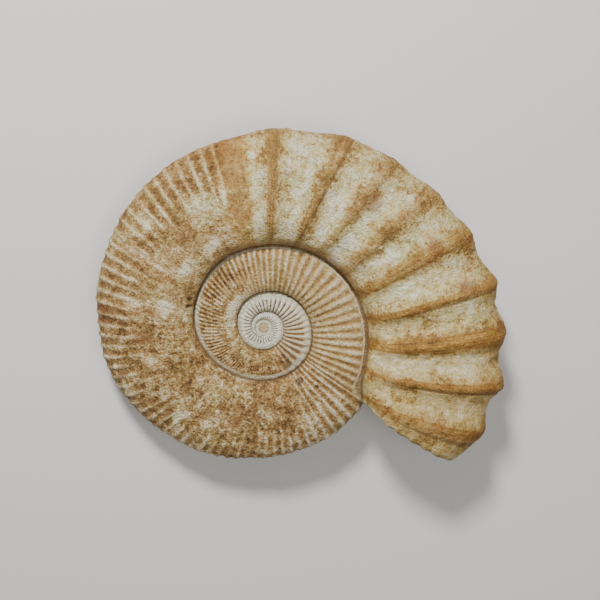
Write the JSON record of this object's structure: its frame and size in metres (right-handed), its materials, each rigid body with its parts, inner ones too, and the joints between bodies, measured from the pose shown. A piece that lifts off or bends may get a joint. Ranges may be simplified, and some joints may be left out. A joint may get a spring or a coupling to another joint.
{
  "type": "ammonite fossil",
  "caption": "Large fossil ammonite lying on its side: an open flat coil with broad radial ribs on the last half turn, fine ribs inside and a broken mouth.",
  "frame": {"origin": "centre of the bounding box, at the level of the ground it lies on", "axes": "+Z up, out of the face seen in the picture; +X to the right and +Y up in the picture, so the broken mouth points towards +X and -Y"},
  "size_m": [0.5114, 0.4164, 0.1235],
  "materials": {
    "stone": "rough ochre and cream limestone"
  },
  "bodies": {
    "root": {"ammonite": "stone"}
  },
  "joints": []
}
